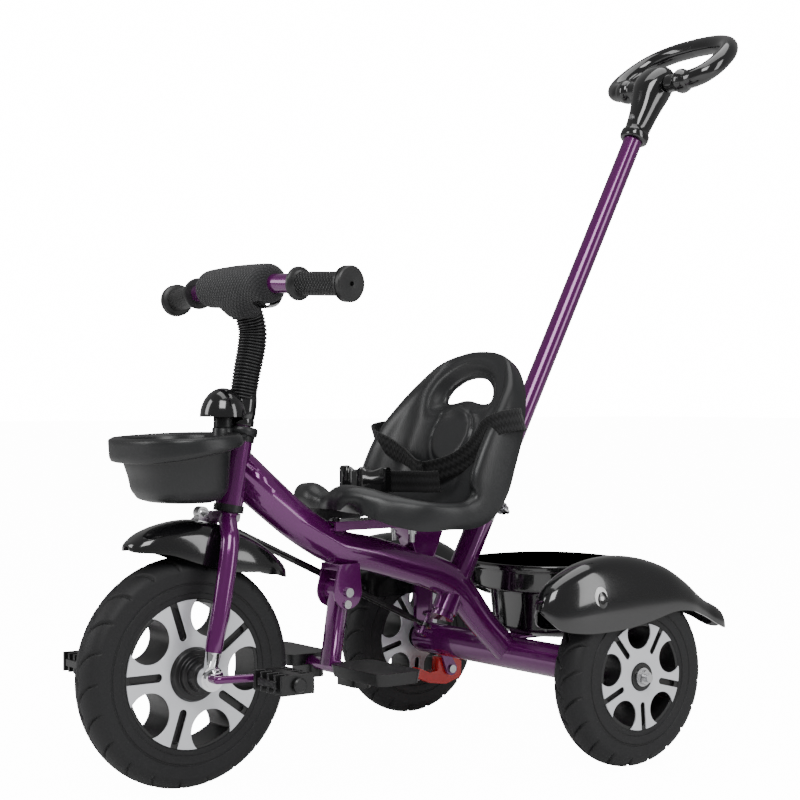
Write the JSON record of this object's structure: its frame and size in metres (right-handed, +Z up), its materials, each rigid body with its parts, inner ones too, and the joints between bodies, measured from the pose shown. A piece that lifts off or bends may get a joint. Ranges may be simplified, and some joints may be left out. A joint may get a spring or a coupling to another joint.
{
  "type": "children's tricycle",
  "caption": "Child's pedal tricycle with a steering push pole, belted bucket seat, folding footrest, front basket, rear bucket, fenders and foam tyres.",
  "frame": {"origin": "middle of the whole tricycle's box, on the ground under the tyres", "axes": "+X to the rider's left, -Y the front, +Z up"},
  "size_m": [0.507, 0.9732, 0.9484],
  "materials": {
    "paint": "high-gloss deep purple enamel",
    "tyre": "matt black foam rubber",
    "wheel_black": "black moulded plastic",
    "wheel_cover": "pearl silver-white",
    "bearing": "satin zinc",
    "chrome": "polished chrome",
    "shell": "fine-grained charcoal plastic",
    "gloss_black": "gloss black plastic",
    "webbing": "ribbed black webbing",
    "pad_cloth": "black spacer mesh over foam",
    "grip": "black rubber with raised diamonds",
    "brake_red": "gloss red plastic",
    "link": "satin black paint"
  },
  "bodies": {
    "frame": {"head_tube": "paint", "headset_cups": "wheel_black", "main_tube": "paint", "rear_cross_tube": "paint", "pole_socket": "paint", "seat_rail": "paint", "footrest_bracket": "paint", "footrest_bolts": "bearing", "rear_axle": "bearing", "axle_nuts": "bearing", "seat": "shell", "seat_bolts": "bearing", "rear_bucket": "gloss_black", "rear_fender_left": "gloss_black", "rear_fender_right": "gloss_black", "shoulder_straps": "webbing", "waist_strap": "webbing", "buckle_socket": "gloss_black", "buckle_tongue": "gloss_black", "brake_pins": "bearing"},
    "front_end": {"fork": "paint", "axle_cups": "chrome", "stem": "paint", "stem_bellows": "grip", "stem_cowl": "gloss_black", "handlebar": "paint", "bar_pad": "pad_cloth", "grip_left": "grip", "grip_right": "grip", "front_basket": "shell", "front_fender": "gloss_black", "fender_bracket": "bearing"},
    "front_wheel": {"front_tyre": "tyre", "front_rim": "wheel_black", "front_covers": "wheel_cover", "front_hub": "wheel_black", "crank": "paint"},
    "left_pedal": {"pedal_left": "wheel_black"},
    "right_pedal": {"pedal_right": "wheel_black"},
    "rear_wheel_left": {"rear_tyre_left": "tyre", "rear_rim_left": "wheel_black", "rear_covers_left": "wheel_cover", "rear_bearing_left": "bearing"},
    "rear_wheel_right": {"rear_tyre_right": "tyre", "rear_rim_right": "wheel_black", "rear_covers_right": "wheel_cover", "rear_bearing_right": "bearing"},
    "left_brake": {"brake_lever_left": "brake_red"},
    "right_brake": {"brake_lever_right": "brake_red"},
    "footrest": {"footrest_leg": "paint", "footrest_pads": "wheel_black"},
    "pole": {"push_pole": "paint", "pole_collar": "bearing", "pole_crank": "paint", "handle_neck": "gloss_black", "neck_screws": "bearing"},
    "handle": {"push_handle": "gloss_black"},
    "link": {"steering_link": "link"}
  },
  "joints": [
    {"name": "steering", "type": "hinge", "parent": "frame", "child": "front_end", "pos_m": [0, -0.2912, 0.35158], "axis": [0, 0.1736, 0.9848], "range_deg": [-35, 35]},
    {"name": "front_wheel_spin", "type": "hinge", "parent": "front_end", "child": "front_wheel", "pos_m": [0, -0.35667, 0.13], "axis": [1, 0, 0], "continuous": true},
    {"name": "left_pedal_spin", "type": "hinge", "parent": "front_wheel", "child": "left_pedal", "pos_m": [0.12, -0.30167, 0.13], "axis": [1, 0, 0], "continuous": true},
    {"name": "right_pedal_spin", "type": "hinge", "parent": "front_wheel", "child": "right_pedal", "pos_m": [-0.12, -0.41167, 0.13], "axis": [1, 0, 0], "continuous": true},
    {"name": "rear_left_spin", "type": "hinge", "parent": "frame", "child": "rear_wheel_left", "pos_m": [0.217, 0.12333, 0.1084], "axis": [1, 0, 0], "continuous": true},
    {"name": "rear_right_spin", "type": "hinge", "parent": "frame", "child": "rear_wheel_right", "pos_m": [-0.217, 0.12333, 0.1084], "axis": [1, 0, 0], "continuous": true},
    {"name": "left_brake_press", "type": "hinge", "parent": "frame", "child": "left_brake", "pos_m": [0.165, 0.14833, 0.065], "axis": [1, 0, 0], "range_deg": [0, 15]},
    {"name": "right_brake_press", "type": "hinge", "parent": "frame", "child": "right_brake", "pos_m": [-0.165, 0.14833, 0.065], "axis": [1, 0, 0], "range_deg": [0, 15]},
    {"name": "footrest_fold", "type": "hinge", "parent": "frame", "child": "footrest", "pos_m": [0, -0.14467, 0.206], "axis": [1, 0, 0], "range_deg": [0, 50]},
    {"name": "pole_turn", "type": "hinge", "parent": "frame", "child": "pole", "pos_m": [0, 0.04658, 0.22947], "axis": [0, 0.4695, 0.8829], "range_deg": [-35, 35]},
    {"name": "handle_tilt", "type": "hinge", "parent": "pole", "child": "handle", "pos_m": [0, 0.38742, 0.87048], "axis": [1, 0, 0], "range_deg": [-75, 30]},
    {"name": "link_swing", "type": "hinge", "parent": "front_end", "child": "link", "pos_m": [-0.033, -0.29713, 0.28916], "axis": [0, 0.1736, 0.9848], "range_deg": [-35, 35]}
  ],
  "couplings": [
    {"joint": "pole_turn", "follows": "steering", "ratio": 1},
    {"joint": "link_swing", "follows": "steering", "ratio": -1}
  ]
}
